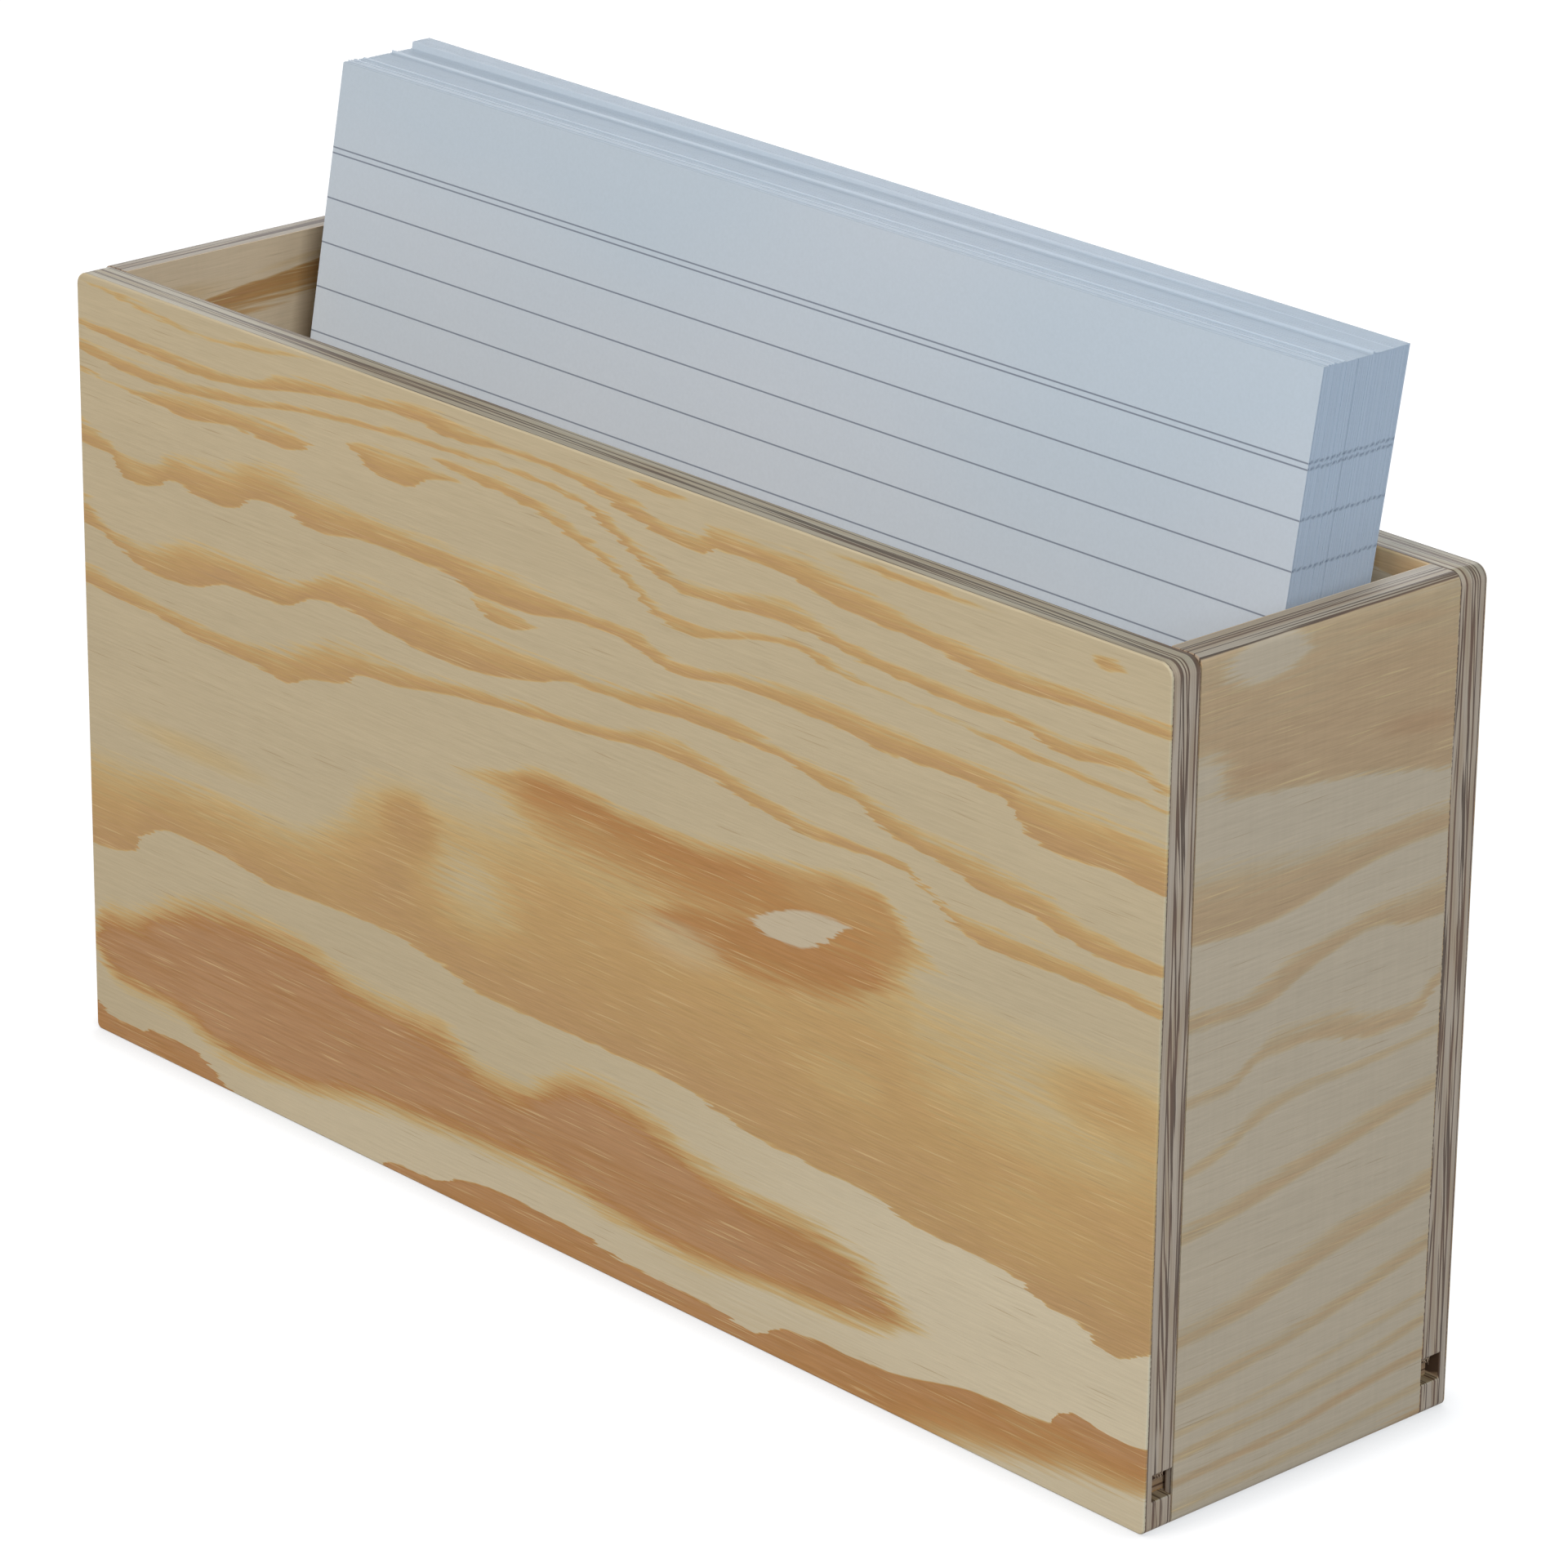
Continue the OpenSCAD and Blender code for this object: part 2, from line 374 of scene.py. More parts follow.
# the front panel's figure, drawn band by band; x from the left end and z from the foot, in mm
frontBands = [
    {"strength": 0.60,
     "lower": [(0, 126.9), (5, 126.5), (15, 125.5), (31, 124.6), (45, 125.5), (57, 127.3)],
     "upper": [(0, 127), (5, 127), (15, 126.6), (31, 125.1), (45, 126.5), (57, 127.4)]},
    {"strength": 0.95,
     "lower": [(0, 119.6), (12, 118.8), (30, 118.3), (44, 119.5), (54, 121.3), (72, 123.5), (84, 123.7),
               (90, 123), (105, 124.1), (120, 123.5), (130, 121.4), (138, 119.9), (146, 119.6),
               (148, 121), (162, 121.3), (169, 120), (178, 118.9), (192, 118.5), (205, 116.7),
               (226, 117.7), (238, 117.6)],
     "upper": [(0, 120.6), (10, 120.7), (30, 120.3), (44, 120.9), (50, 123), (70, 124.8), (84, 126.3),
               (97, 125.4), (128, 124.5), (140, 122), (145, 122.3), (148, 124.5), (165, 124.8),
               (175, 124), (190, 121.5), (205, 120.2), (238, 119.8)]},
    {"strength": 0.90,
     "lower": [(0, 115.5), (10, 114.4), (18, 114.3), (40, 116), (56, 118.5), (80, 120.3), (105, 121.2),
               (120, 120.3), (124, 118.5), (136, 113.9), (143, 112.7), (165, 113.9), (178, 112.5),
               (200, 111.6), (207, 112), (219, 110), (230, 111.2), (238, 109.8)],
     "upper": [(0, 117.3), (20, 116.5), (40, 117.6), (62, 120), (100, 121.9), (113, 121.8), (123, 120.8),
               (140, 115), (147, 114.9), (161, 117.4), (167, 117), (173, 115.1), (195, 113.8),
               (208, 113.5), (220, 112.7), (228, 113.2), (238, 111.4)]},
    {"strength": 0.85,
     "lower": [(0, 112.2), (17, 111.2), (26, 110.6), (40, 112.1), (50, 111.7), (55, 112.4), (58, 113.9)],
     "upper": [(0, 112.9), (10, 111.9), (18, 112.8), (22, 113.8), (38, 114.8), (50, 115.2), (58, 113.9)]},
    {"strength": 0.85,
     "lower": [(66, 116.2), (70, 114.5), (76, 112.8), (80, 112.9), (85, 115.2), (94, 116.9)],
     "upper": [(66, 116.2), (73, 117.8), (80, 118), (86, 117.5), (94, 116.9)]},
    {"strength": 0.85,
     "lower": [(86, 118.8), (100, 117.6), (108, 117), (118, 114.5), (130, 110.8), (137, 107.2),
               (143, 106.6), (150, 108), (160, 110.3), (167, 110.7), (171, 109.4), (192, 109),
               (217, 107.5), (238, 107.3)],
     "upper": [(86, 118.8), (92, 119.7), (98, 119.6), (112, 118.2), (127, 113.6), (139, 109),
               (143, 108.7), (160, 111.2), (166, 111.9), (178, 109.9), (210, 108.9), (238, 107.9)]},
    {"strength": 0.95,
     "lower": [(0, 100.2), (8, 99.7), (10, 97.6), (14, 96.7), (20, 97.9), (24, 99.6), (32, 98.4),
               (40, 99.4), (43, 101.5), (50, 102), (58, 100.3), (72, 102), (90, 101.9), (97, 100.2),
               (104, 100.2), (122, 102.3), (130, 101.9), (140, 100), (155, 101.7), (170, 101.5),
               (187, 100.5), (197, 101), (208, 100.2), (211, 97), (220, 95.6), (228, 96), (238, 95.2)],
     "upper": [(0, 104.6), (10, 101.3), (15, 100.8), (24, 104), (37, 105.5), (42, 107.5), (50, 108.2),
               (62, 106.5), (95, 106), (115, 104.5), (132, 104.2), (141, 101.9), (154, 103.8), (170, 105),
               (195, 104.4), (238, 103.4)]},
    {"strength": 0.80,
     "lower": [(95, 99.4), (98, 97.8), (101, 96.8), (104, 96.9), (110, 98.6)],
     "upper": [(95, 99.4), (99, 100.1), (104, 99.8), (110, 98.6)]},
    {"strength": 0.95,
     "lower": [(0, 87), (5, 86.3), (15, 83.2), (20, 82.8), (30, 83.8), (36, 85.8), (50, 86.2), (58, 89.3),
               (66, 89.9), (76, 88.6), (90, 87.8), (109, 90.2), (118, 92.5), (130, 92.6), (142, 93.6),
               (160, 93.7), (170, 92.2), (180, 91), (182, 89.7), (198, 87), (203, 85.8), (213, 85.2),
               (225, 83.1), (238, 83.6)],
     "upper": [(0, 92), (6, 88), (11, 87.3), (18, 88), (27, 91), (53, 91.3), (64, 95), (75, 95.3),
               (108, 94.2), (130, 94.8), (146, 97.2), (153, 96.9), (161, 95.4), (175, 94.3), (190, 91.5),
               (212, 89.7), (221, 87.6), (238, 85.5)]},
    {"strength": 0.95,
     "lower": [(0, 76.7), (20, 75.8), (31, 74.7), (43, 74.7), (50, 73.7), (56, 75.8), (66, 78.1),
               (68, 79.8), (77, 80.6), (90, 82.7), (105, 84.2), (123, 85.6), (137, 86.9), (148, 86.3),
               (158, 84.6), (168, 83.5), (184, 84.3), (194, 81.8), (197, 79.6), (208, 77.7), (222, 78.2),
               (238, 77.8)],
     "upper": [(0, 80.3), (20, 78.3), (35, 77.8), (46, 78.8), (57, 82), (64, 84.3), (76, 84.2),
               (105, 86.2), (122, 87.3), (139, 90), (158, 87.3), (172, 85.7), (184, 85.8), (200, 81.2),
               (214, 81.2), (238, 79.8)]},
    {"strength": 0.85,
     "lower": [(0, 32.6), (6, 32.9), (12, 35), (13, 37), (22, 40.4), (34, 40.4), (45, 39), (72, 40.1),
               (88, 38.3), (97, 36.5), (128, 36.8), (147, 36), (150, 34.8), (166, 33.4), (185, 32.8),
               (189, 31.5), (212, 30.4), (216, 28.6), (225, 27.5), (231, 25.2), (238, 28)],
     "upper": [(0, 50), (30, 51), (54, 52), (64, 58), (72, 66), (100, 69), (112, 75), (150, 76),
               (176, 79), (187, 75), (194, 70), (210, 70), (238, 72)]},
    {"strength": 0.95, "hanging": True, "red": 0.75, "feather": 0.5,
     "lower": [(0, -9), (180, -6), (195, -1.5), (212, 1.2), (228, 3.8), (238, 5.4)],
     "upper": [(0, 5.2), (5, 3.1), (12, 3), (15, 4.2), (25, 4.2), (31, 2), (38, -0.4), (70, -0.4),
               (75, 1.2), (86, 1.9), (92, 4), (105, 5.1), (118, 4.9), (130, 3.3), (150, 3.2), (157, 2),
               (165, 5.2), (187, 6.4), (205, 9.7), (219, 10.3), (221, 12.4), (225, 13.7), (233, 12.6),
               (238, 13.2)]},
]
frontLenses = [
    {"strength": 0.95, "soft": (2.2, 3.0),
     "lower": [(0, 15.6), (4, 12), (8, 11), (24, 9.9), (30, 8), (40, 6.8), (52, 7.5), (68, 10.3),
               (95, 12.2), (110, 13.1), (127, 11.2), (145, 10.5), (163, 11.8), (185, 13.8), (189, 15.2)],
     "upper": [(0, 16), (3, 20), (10, 21.2), (20, 25.8), (30, 29), (40, 30.2), (53, 30.2), (65, 27.2),
               (88, 25.8), (97, 22.5), (103, 22.3), (118, 28), (124, 28.6), (137, 26.8), (148, 23.4),
               (173, 21.8), (182, 19.4), (189, 15.2)]},
    {"strength": 0.46, "soft": (2.6, 1.3),
     "lower": [(105, 72.6), (110, 71.2), (120, 70.6), (132, 69.6), (145, 69), (155, 70.6), (160, 73)],
     "upper": [(105, 72.8), (110, 75), (120, 75.6), (132, 74.7), (145, 74.7), (155, 74.8), (160, 73.4)]},
    {"strength": 0.34, "soft": (5.0, 1.5),
     "lower": [(103, 72.8), (108, 69.5), (114, 67.5), (122, 66.4), (132, 65.6), (142, 65), (152, 65),
               (160, 65.5), (170, 66.5), (178, 65.5), (183, 65), (187, 69), (190, 73)],
     "upper": [(103, 73.2), (108, 75.2), (114, 75.8), (122, 74.9), (132, 74.7), (142, 74.7), (152, 75.5),
               (160, 76.5), (168, 77.3), (176, 78.6), (182, 78.5), (187, 76.2), (190, 73.2)]},
    {"strength": 0.48, "soft": (3.2, 3.2),
     "lower": [(133, 61), (142, 58.6), (152, 57.8), (162, 58), (172, 59.4), (180, 62), (186, 66)],
     "upper": [(133, 61.4), (142, 65.4), (150, 67), (158, 68.3), (170, 69.5), (180, 70), (186, 66.5)]},
]
frontFigure = {
    "size": (238.0, 128.0),
    "sharp": 0.45,  # mm over which a latewood edge starts
    "bands": frontBands,
    "lenses": frontLenses,
    "eyes": [
        {"lower": [(156.5, 67), (160, 65.8), (165, 65.7), (170, 67), (173.5, 69.5), (177.5, 72.2)],
         "upper": [(156.5, 67.2), (160, 69), (166, 71.4), (172, 72.3), (177.5, 72.4)]},
    ],
    # soft patches: middle, reach, and how much amber, red, pale (painted bounce light) or bare eye they add
    # or take away
    "patches": [
        {"middle": (95, 51), "reach": (17, 10), "amber": -0.34},
        {"middle": (176, 48), "reach": (15, 5), "amber": -0.28},
        {"middle": (214, 53), "reach": (32, 12), "amber": -0.17},
        {"middle": (214, 38), "reach": (24, 9), "amber": -0.28},
        {"middle": (228, 62), "reach": (16, 6), "amber": 0.22},
        {"middle": (141, 58.6), "reach": (14, 5.0), "red": -0.30, "amber": -0.12, "eye": 0.32},
        {"middle": (174, 75.5), "reach": (19, 4.5), "red": -0.17},
        {"middle": (186, 72), "reach": (7, 8), "red": -0.10},
        {"middle": (80, 59), "reach": (9, 7), "amber": 0.48, "red": 0.06},
        {"middle": (75, 50), "reach": (8, 9), "amber": 0.20},
        {"middle": (28, 56), "reach": (26, 3), "amber": 0.15},
        {"middle": (214, 9.5), "reach": (12, 3.5), "red": -0.32},
        {"middle": (226, 125), "reach": (4, 1.2), "amber": 0.8},
        {"middle": (136, 126.6), "reach": (7, 0.8), "amber": 0.7},
        {"middle": (188, 126.5), "reach": (18, 0.8), "amber": 0.6},
        # the two wide pale patches are painted bounce light, brighter towards the lower right and the foot
        {"middle": (215, 22), "reach": (110, 40), "pale": 0.9},
        {"middle": (90, 4), "reach": (90, 20), "pale": 0.6},
    ],
}

# the right end's figure; x from the front edge and z from the foot, in mm
rightBands = [
    {"strength": 0.62,
     "lower": [(0, 107), (20, 105), (30, 103.8), (50.8, 100.2)],
     "upper": [(0, 140), (50.8, 140)]},
    {"strength": 0.72,
     "lower": [(0, 87), (10, 86.4), (19, 87), (29, 89), (39, 90.5), (50.8, 91)],
     "upper": [(0, 98.6), (14, 97), (26, 95.8), (32, 94.8), (44, 95.2), (50.8, 94.8)]},
    {"strength": 0.66,
     "lower": [(0, 74.3), (12, 74), (27, 78.4), (36, 80), (44, 78.6), (50.8, 78.4)],
     "upper": [(0, 77.2), (9, 76.7), (19, 79.8), (29, 81.8), (50.8, 84.2)]},
    {"strength": 0.50,
     "lower": [(0, 63), (8, 63.2), (16, 66.5), (27, 66), (36, 63.6), (44, 63.6), (50.8, 68)],
     "upper": [(0, 64.8), (8, 65.2), (17, 70), (28, 70.2), (37, 67.6), (44, 66.6), (50.8, 70.8)]},
    {"strength": 0.42,
     "lower": [(0, 52.5), (7, 53.8), (14, 56.8), (22, 58.8), (34, 59.3), (50.8, 60.4)],
     "upper": [(0, 53.8), (8, 56.6), (15, 59.8), (22, 60.8), (34, 60.4), (50.8, 61.7)]},
    {"strength": 0.48,
     "lower": [(0, 42.7), (14, 44.6), (27, 47), (50.8, 51.4)],
     "upper": [(0, 46), (14, 48), (27, 50.5), (50.8, 54.6)]},
    {"strength": 0.48,
     "lower": [(0, 27), (14, 28.3), (27, 31.4), (50.8, 35.8)],
     "upper": [(0, 31), (14, 32.5), (27, 36), (50.8, 40)]},
    {"strength": 0.48,
     "lower": [(0, 18.6), (14, 20), (27, 21.8), (50.8, 27)],
     "upper": [(0, 20.8), (14, 22.6), (27, 24.4), (50.8, 29.8)]},
    {"strength": 0.35,
     "lower": [(0, 13.6), (20, 14.5), (35, 16.8), (50.8, 19.4)],
     "upper": [(0, 14.6), (20, 15.7), (35, 18.2), (50.8, 20.8)]},
    {"strength": 0.50,
     "lower": [(0, 9.8), (24, 11.2), (39, 13), (50.8, 15.2)],
     "upper": [(0, 11.2), (24, 12.9), (39, 14.8), (50.8, 17)]},
    {"strength": 0.50, "red": 0.4,
     "lower": [(0, 6), (24, 6.9), (39, 8.8), (50.8, 9.9)],
     "upper": [(0, 7.2), (24, 8.4), (39, 10.4), (50.8, 11.4)]},
    {"strength": 0.40,
     "lower": [(0, 2), (29, 3), (50.8, 4.8)],
     "upper": [(0, 3.2), (29, 4.2), (50.8, 6.2)]},
    {"strength": 0.90, "red": 0.6,
     "lower": [(0, -6), (50.8, -6)],
     "upper": [(0, -5), (26, -3), (36, 0.4), (42, 1.6), (50.8, 2.6)]},
]
rightFigure = {
    "size": (50.8, 128.0),
    "sharp": 1.5,
    "bands": rightBands,
    "patches": [
        {"middle": (13, 124.6), "reach": (11, 4.5), "amber": -0.6},
        {"middle": (1, 110), "reach": (9, 6), "amber": -0.6},
        {"middle": (38, 118), "reach": (18, 5), "amber": 0.15},
        {"middle": (44, 108), "reach": (12, 2.6), "rise": -0.12, "amber": 0.30, "red": 0.12},
        {"middle": (24, 113), "reach": (14, 1.8), "rise": -0.10, "amber": 0.22},
        {"middle": (12, 109), "reach": (9, 1.6), "rise": -0.10, "amber": 0.25, "red": 0.08},
        {"middle": (40, 124), "reach": (14, 1.5), "rise": -0.08, "amber": 0.20},
    ],
}

# the left end's inner face, as far as the cards leave it in view; x from its front edge
leftInnerFigure = {
    "size": (50.8, 128.0),
    "sharp": 0.6,
    "bands": [
        {"strength": 0.92, "hanging": True, "red": 0.7,
         "lower": [(0, 113), (19, 115.5), (30, 117), (50.8, 118)],
         "upper": [(0, 117.5), (13, 119.9), (18, 120.5), (23, 121.1), (30, 121.7), (37, 122.6),
                   (50.8, 124)]},
        {"strength": 0.75,
         "lower": [(0, 88), (20, 90), (50.8, 96)],
         "upper": [(0, 96), (20, 99), (50.8, 106)]},
        {"strength": 0.65,
         "lower": [(0, 52), (30, 57), (50.8, 64)],
         "upper": [(0, 60), (30, 66), (50.8, 72)]},
    ],
    "patches": [
        {"middle": (10, 122.0), "reach": (14, 2.5), "amber": 0.15},
        {"middle": (34, 123.6), "reach": (12, 0.9), "rise": 0.08, "amber": 0.15},
    ],
}

# plies of both ends
endPlies = {"streaky": [(0.3, 1.5, 0.02), (2.7, 4.0, 0.03)], "glue": [0.42, 1.5, 2.7, 4.0]}

# each panel: the grey of its upper edge, partly its end grain and partly painted shade; its grain, height
# and depth axes with the side they are measured from; its drawn figures; its streaky plies, in mm of depth
# and with their slant, and its glue lines; and where nothing is drawn the distance and the swing of its
# rings, in mm
panels = [
    {"node": "front_panel", "endGrainAndShade": "#e9f6f6",
     "grain": "x low", "height": "z low", "depth": "y low", "outer": frontFigure,
     "streaky": [(1.8, 3.6, 0.055), (4.7, 5.6, -0.02)], "glue": [0.36, 1.75, 3.25, 4.75, 5.36],
     "seed": 3.1, "ring": 13.0, "swing": 16.0, "eased": True},
    {"node": "right_end_panel", "endGrainAndShade": "#e4edf1",
     "grain": "y low", "height": "z low", "depth": "x high", "outer": rightFigure,
     **endPlies, "seed": 11.7, "ring": 11.0, "swing": 14.0, "sanded": 0.03, "wood": pineEnd},
    {"node": "back_panel", "endGrainAndShade": "#eaf5f3",
     "grain": "x high", "height": "z low", "depth": "y high",
     "streaky": [(1.5, 3.1, -0.05), (4.5, 5.6, 0.03)], "glue": [0.42, 1.5, 2.5, 4.2, 5.36],
     "seed": 27.4, "ring": 12.0, "swing": 22.0, "eased": True, "wood": pineBack},
    {"node": "left_end_panel", "endGrainAndShade": "#e0e9ee",
     "grain": "y low", "height": "z low", "depth": "x low", "inner": leftInnerFigure,
     **endPlies, "seed": 41.9, "ring": 12.0, "swing": 15.0, "sanded": 0.02, "wood": pineTan},
    {"node": "bottom_panel", "endGrainAndShade": "#e2e6e2",
     "grain": "x low", "height": "y low", "depth": "z high",
     "streaky": [(1.8, 3.6, 0.05)], "glue": [0.42, 1.8, 3.6, 4.8],
     "seed": 58.2, "ring": 10.0, "swing": 14.0},
]

woodKinds = ("amber", "red", "pale", "eye")  # what a figure can hold besides cream
# how far a seed shifts a noise along and across the grain; each noise adds a number of its own to the
# panel's seed, so that no two are alike
seedSteps = (7.3, 3.7)


def grainNoise(along, across, grain, seed, detail=1.0):
    # noise between about -0.5 and 0.5, drawn out along the grain: grain is its length and height in mm;
    # across is 0 for a noise that only changes along a line
    tree = along.id_data
    place = addNode(tree, "CombineXYZ", [
        scaled(value, 1 / size, step * seed) if value else step * seed
        for value, size, step in zip((along, across), grain, seedSteps)])
    noise = addNode(tree, "TexNoise", {"Vector": place, "Scale": 1.0, "Detail": detail},
                    noise_dimensions="2D")
    return minus(noise.outputs[0], 0.5)


def evenNoise(coords, size, detail):
    # noise between about 0.2 and 0.8 with no direction, size in mm
    place = coords["Object"]
    tree = place.id_data
    place = addNode(tree, "VectorMath", {"Vector": place, "Scale": toMm / size}, operation="SCALE")
    return addNode(tree, "TexNoise", {"Vector": place, "Scale": 1.0, "Detail": detail}).outputs["Fac"]


def bandEdge(share, size, edge, lift):
    # an edge as a curve over the panel's length, both axes from 0 to 1; past a band's ends its edges cross
    drawn = [(x / size[0], z / size[1]) for x, z in edge]
    if drawn[0][0] > 0:
        drawn.insert(0, (0.0, drawn[0][1] + lift))
    if drawn[-1][0] < 1:
        drawn.append((1.0, drawn[-1][1] + lift))
    line = addNode(share.id_data, "FloatCurve", {"Value": share}, curve=drawn)
    return product(line, size[1])


def insideBand(share, up, size, band):
    # distances in mm above the lower edge and below the upper one
    lower = bandEdge(share, size, band["lower"], latewood["crossing"])
    upper = bandEdge(share, size, band["upper"], -latewood["crossing"])
    return minus(up, lower), minus(upper, up)


def drawFigure(along, up, figure, streak):
    # shares of amber, red and pale wood and of the bare eye, 0 to 1
    size, sharp = figure["size"], figure["sharp"]
    share = quotient(along, size[0], clamp=True)
    shares = dict.fromkeys(woodKinds, 0.0)

    def raiseTo(kind, value):
        shares[kind] = highest(shares[kind], value)

    for band in figure["bands"]:
        above, below = insideBand(share, up, size, band)
        thick = calc("ADD", above, below)
        thick = highest(thick, 0.0)
        if band.get("hanging"):
            above, below = below, above
        reach = scaled(thick, *latewood["fade"])
        feathered = lowest(reach, latewood["featherLimit"])
        feathered = product(streak, feathered)
        feather = band.get("feather", latewood["feather"])
        feathered = scaled(feathered, feather, below)
        start = ramp(above, -sharp / 2, sharp / 2, 0.0, band["strength"])
        fade = ramp(feathered, 0.0, reach)
        filled = product(start, fade)
        raiseTo("amber", filled)
        if "red" in band:
            raiseTo("red", product(filled, band["red"]))
    for lens in figure.get("lenses", ()):
        sides = insideBand(share, up, size, lens)
        inside = lowest(*[quotient(side, soft) for side, soft in zip(sides, lens["soft"])])
        feathered = scaled(streak, latewood["lensFeather"], inside)
        raiseTo("red", ramp(feathered, *latewood["lensFill"], 0.0, lens["strength"], smooth=True))
        raiseTo("amber", ramp(feathered, *latewood["lensHalo"], smooth=True))
    for patch in figure["patches"]:
        offX, offZ = [minus(value, middle) for value, middle in zip((along, up), patch["middle"])]
        offZ = scaled(offX, -patch.get("rise", 0.0), offZ)
        off = addNode(offX.id_data, "CombineXYZ", [
            quotient(value, reach) for value, reach in zip((offX, offZ), patch["reach"])])
        far = addNode(off.id_data, "VectorMath", [off], operation="LENGTH").outputs["Value"]
        feathered = scaled(streak, latewood["patchFeather"], far)
        spot = ramp(feathered, *latewood["patchFill"], smooth=True)
        for kind in woodKinds:
            if kind in patch:
                shares[kind] = scaled(spot, patch[kind], shares[kind], clamp=True)
    for hole in figure.get("eyes", ()):
        inside = lowest(*insideBand(share, up, size, hole))
        raiseTo("eye", ramp(inside, -sharp / 2, sharp / 2))
    return shares


def growRings(along, up, panel, streak):
    # rings cut at a low angle, so that they swing and widen along the panel
    swing = grainNoise(along, up, rings["swing"], panel["seed"] + 1)
    ripple = grainNoise(along, up, rings["ripple"], panel["seed"] + 2)
    bent = scaled(swing, panel["swing"] * 2, up)
    bent = scaled(ripple, rings["rippleReach"], bent)
    bent = scaled(streak, rings["fibreReach"], bent)
    ring = product(bent, 1 / panel["ring"])
    ring = calc("FRACT", ring)
    start = ramp(ring, 0.0, rings["start"])
    fade = ramp(ring, *rings["fade"], smooth=True)
    drawn = product(start, fade)
    return product(drawn, ramp(ripple, *rings["weight"]))


def paintFaces(panel, along, up, atInner):
    # colour of the panel's two faces, and the fibres in them
    seed = panel["seed"]
    wood = panel.get("wood", pine)
    # the two faces are cut from different places of the sheet
    alongSheet = scaled(atInner, wood["otherFace"], along)
    streak = grainNoise(alongSheet, up, wood["fibre"], seed, wood["fibreDetail"])
    teeth = grainNoise(alongSheet, up, wood["teeth"], seed + 8)
    shiftX, shiftZ = wood["teethShift"]
    upWarped = scaled(teeth, shiftZ, up)
    sheetWarped = scaled(teeth, shiftX, alongSheet)
    shares = dict.fromkeys(woodKinds, 0.0)
    shares["amber"] = growRings(sheetWarped, upWarped, panel, streak)
    for side in ("outer", "inner"):
        if side in panel:
            alongWarped = scaled(teeth, shiftX, along)
            drawn = drawFigure(alongWarped, upWarped, panel[side], streak)
            here = atInner if side == "inner" else minus(1.0, atInner)
            for kind in woodKinds:
                shares[kind] = mix(here, shares[kind], drawn[kind])
    # dark wood varies slowly and from fibre to fibre
    cloud = grainNoise(alongSheet, up, wood["cloud"], seed + 10)
    varied = scaled(cloud, wood["darkVaries"], 1.0)
    varied = scaled(streak, wood["darkVaries"], varied)
    amber = product(shares["amber"], varied, clamp=True)
    red = product(shares["red"], varied, clamp=True)
    # cream, a golden halo, amber to deep brown, then orange to red
    face = wood["cream"]
    # the pale share is painted bounce light
    if shares["pale"]:
        face = blend(shares["pale"], face, wood["bounceLitCream"])
    warm = addNode(amber.id_data, "ValToRGB", [amber], stops=[
        (0.0, wood["halo"]), (wood["amberAt"], wood["amber"]), (1.0, wood["deep"])])
    cover = ramp(amber, 0.0, wood["haloFull"])
    face = blend(cover, face, warm)
    for kind, span in wood["redSpans"].items():
        face = blend(ramp(red, *span), face, wood[kind])
    face = blend(shares["eye"], face, wood["eye"])
    # dark canals in the pale wood, pale dashes in the dark
    darkness = highest(cover, red)
    darkness = minus(darkness, shares["eye"], clamp=True)
    pore = grainNoise(alongSheet, up, wood["pore"], seed + 9)
    face = blend(ramp(pore, *wood["canalAt"]), face, wood["canal"])
    glint = product(ramp(pore, *wood["glintAt"]), darkness)
    face = blend(glint, face, wood["glint"])
    # slow changes, fibres and sanding marks
    tone = scaled(cloud, wood["cloudTint"], 1.0)
    fine = grainNoise(alongSheet, up, wood["fine"], seed + 13)
    for fibres, (plain, more) in ((streak, wood["fibreTint"]), (fine, wood["fineTint"])):
        tint = scaled(darkness, more, plain)
        tone = scaled(fibres, tint, tone)
    if "sanded" in panel:
        marks = grainNoise(up, along, wood["sanding"], seed + 12)
        tone = scaled(marks, panel["sanded"] * 2, tone)
    return blend(1.0, face, tone, "MULTIPLY"), streak


def paintPlies(panel, depth, along, up):
    # colour and relief of the inner plies on a cut edge
    seed = panel["seed"]
    run = scaled(along, plies["drawnOut"], up)
    drift = grainNoise(run, 0.0, (plies["wander"][0], 1.0), seed + 4)
    wavy = scaled(drift, plies["wander"][1], depth)
    # plies with their fibres along the cut show dark streaks, which slant across the ply
    streaky = slanted = glue = 0.0
    for start, end, slant in panel["streaky"]:
        after = beyond(wavy, start)
        inside = product(after, calc("LESS_THAN", wavy, end))
        streaky = highest(streaky, inside)
        slanted = scaled(inside, slant, slanted)
    across = scaled(run, slanted, wavy)
    streak = grainNoise(run, across, plies["streak"], seed + 6)
    dark = ramp(streak, *plies["streakAt"])
    dark = product(dark, ramp(streaky, 0.0, 1.0, *plies["streakShare"]))
    # glue lines swell and thin out
    patchy = grainNoise(run, wavy, plies["patch"], seed + 5)
    swell = ramp(patchy, *plies["swell"])
    for border in panel["glue"]:
        off = minus(wavy, border)
        off = calc("ABSOLUTE", off)
        off = quotient(off, swell)
        glue = highest(glue, ramp(off, *plies["glue"]))
    dark = highest(dark, glue)
    tint = ramp(patchy, *plies["tintAt"])
    base = blend(tint, plies["light"], plies["warm"])
    stain = blend(tint, plies["dark"], plies["reddish"])
    line = grainNoise(run, depth, plies["line"], seed + 7, plies["lineDetail"])
    tone = scaled(line, plies["lineTint"], 1.0)
    base = blend(1.0, base, tone, "MULTIPLY")
    return blend(dark, base, stain), line


def panelAxis(place, low, high, axis):
    # distance in mm from the panel's low or high side along one axis
    letter, side = axis.split()
    number = "xyz".index(letter)
    scale, start = (toMm, low) if side == "low" else (-toMm, high)
    return scaled(place[number], scale, -scale * start[number])


